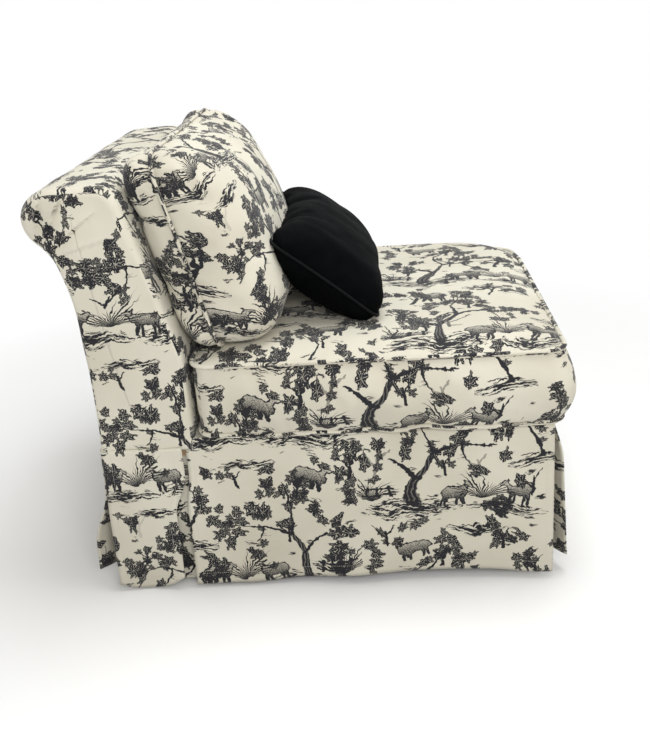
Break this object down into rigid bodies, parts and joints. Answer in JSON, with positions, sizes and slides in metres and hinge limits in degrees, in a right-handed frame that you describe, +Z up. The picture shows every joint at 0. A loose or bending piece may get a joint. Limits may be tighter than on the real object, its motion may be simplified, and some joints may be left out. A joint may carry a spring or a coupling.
{
  "type": "armless skirted lounge chair",
  "caption": "Armless lounge chair with a scroll back, boxed seat cushion, loose back cushion, throw pillow and a floor-length skirt with kick pleats.",
  "frame": {"origin": "on the floor under the middle of the bounding box", "axes": "+X to the front of the chair, +Y to the sitter's left, +Z up"},
  "size_m": [0.94, 0.7196, 0.9082],
  "materials": {
    "printed_cotton": "woven cotton, ivory with a charcoal engraved-style country print",
    "black_cotton": "plain black woven cotton",
    "beech": "raw planed hardwood",
    "plywood": "raw sawn plywood",
    "fibreboard": "brown board",
    "zinc_steel": "zinc plated",
    "spring_steel": "oiled spring steel",
    "nylon": "moulded nylon",
    "foam": "cut polyurethane foam",
    "batting": "polyester fibre",
    "felt": "needled felt",
    "jute": "coarse jute",
    "cambric": "black non-woven cloth",
    "zip_tape": "woven tape with a closed nylon chain"
  },
  "bodies": {
    "chair": {"front_rail": "beech", "side_rail_left": "beech", "side_rail_right": "beech", "back_rail": "beech", "spring_rail": "beech", "tack_rail": "beech", "top_rail": "beech", "roll_rail": "beech", "back_panel_left": "plywood", "back_panel_right": "plywood", "roll_ribs": "plywood", "roll_board": "plywood", "rear_board": "fibreboard", "frame_dowels": "beech", "corner_blocks": "beech", "legs": "beech", "leg_bolts": "zinc_steel", "glides": "nylon", "seat_springs": "spring_steel", "back_springs": "spring_steel", "spring_clips": "zinc_steel", "edge_rolls": "foam", "seat_burlap": "jute", "back_burlap": "jute", "deck_pad": "felt", "deck_cover": "printed_cotton", "back_padding": "foam", "roll_padding": "batting", "side_padding": "batting", "dust_cover": "cambric", "inside_back_cover": "printed_cotton", "outside_back_cover": "printed_cotton", "back_facing_left": "printed_cotton", "back_facing_right": "printed_cotton", "skirt_front": "printed_cotton", "skirt_rear": "printed_cotton", "skirt_seat_left": "printed_cotton", "skirt_seat_right": "printed_cotton", "skirt_back_left": "printed_cotton", "skirt_back_right": "printed_cotton", "skirt_underlays": "printed_cotton"},
    "seat_cushion": {"seat_foam": "foam", "seat_cushion_top": "printed_cotton", "seat_cushion_bottom": "printed_cotton", "seat_boxing": "printed_cotton", "seat_welts": "printed_cotton", "seat_zip": "zip_tape"},
    "back_cushion": {"back_cushion_fill": "batting", "back_cushion_front_panel": "printed_cotton", "back_cushion_rear_panel": "printed_cotton", "back_cushion_welt": "printed_cotton", "back_zip": "zip_tape"},
    "throw_pillow": {"pillow_fill": "batting", "pillow_front_panel": "black_cotton", "pillow_rear_panel": "black_cotton", "pillow_piping": "black_cotton"},
    "seat_zip_slider": {"seat_zip_slider": "zinc_steel"},
    "seat_zip_pull": {"seat_zip_pull": "zinc_steel"},
    "back_zip_slider": {"back_zip_slider": "zinc_steel"},
    "back_zip_pull": {"back_zip_pull": "zinc_steel"}
  },
  "joints": [
    {"name": "seat_cushion_lift", "type": "slide", "parent": "chair", "child": "seat_cushion", "axis": [0, 0, 1], "range_m": [0, 0.45]},
    {"name": "back_cushion_lift", "type": "slide", "parent": "seat_cushion", "child": "back_cushion", "axis": [-0.2368, 0, 0.9715], "range_m": [0, 0.45]},
    {"name": "throw_pillow_lift", "type": "slide", "parent": "back_cushion", "child": "throw_pillow", "axis": [0.6403, -0.056, 0.766], "range_m": [0, 0.35]},
    {"name": "seat_zip_slide", "type": "slide", "parent": "seat_cushion", "child": "seat_zip_slider", "axis": [0, 1, 0], "range_m": [0, 0.52]},
    {"name": "seat_zip_pull_hinge", "type": "hinge", "parent": "seat_zip_slider", "child": "seat_zip_pull", "pos_m": [-0.21956, -0.2632, 0.40625], "axis": [0, 0, -1], "range_deg": [0, 9]},
    {"name": "back_zip_slide", "type": "slide", "parent": "back_cushion", "child": "back_zip_slider", "axis": [0, 1, 0], "range_m": [0, 0.35]},
    {"name": "back_zip_pull_hinge", "type": "hinge", "parent": "back_zip_slider", "child": "back_zip_pull", "pos_m": [-0.2141, -0.1786, 0.52211], "axis": [0.6787, 0, -0.7344], "range_deg": [0, 30]}
  ]
}
